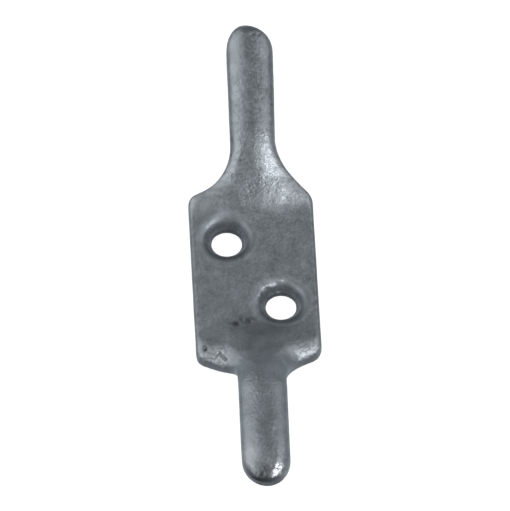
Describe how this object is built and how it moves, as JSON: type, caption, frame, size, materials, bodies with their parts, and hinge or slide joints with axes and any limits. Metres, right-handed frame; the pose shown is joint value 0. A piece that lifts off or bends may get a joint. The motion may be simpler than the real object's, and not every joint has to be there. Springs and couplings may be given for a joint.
{
  "type": "cleat hook",
  "caption": "One-piece galvanised cleat hook: a flat plate with diagonal countersunk screw holes and a raised rounded horn at each end.",
  "frame": {"origin": "centre of the plate's flat back, the face that lies on the deck or wall", "axes": "+Y along the horns, +X across the plate, +Z out of the mounting face towards the rope side"},
  "size_m": [0.0219, 0.0992, 0.0103],
  "materials": {
    "galvanised_iron": "hot-dip galvanised, dull blue-grey, slightly grainy"
  },
  "bodies": {
    "root": {"cleat_casting": "galvanised_iron"}
  },
  "joints": []
}
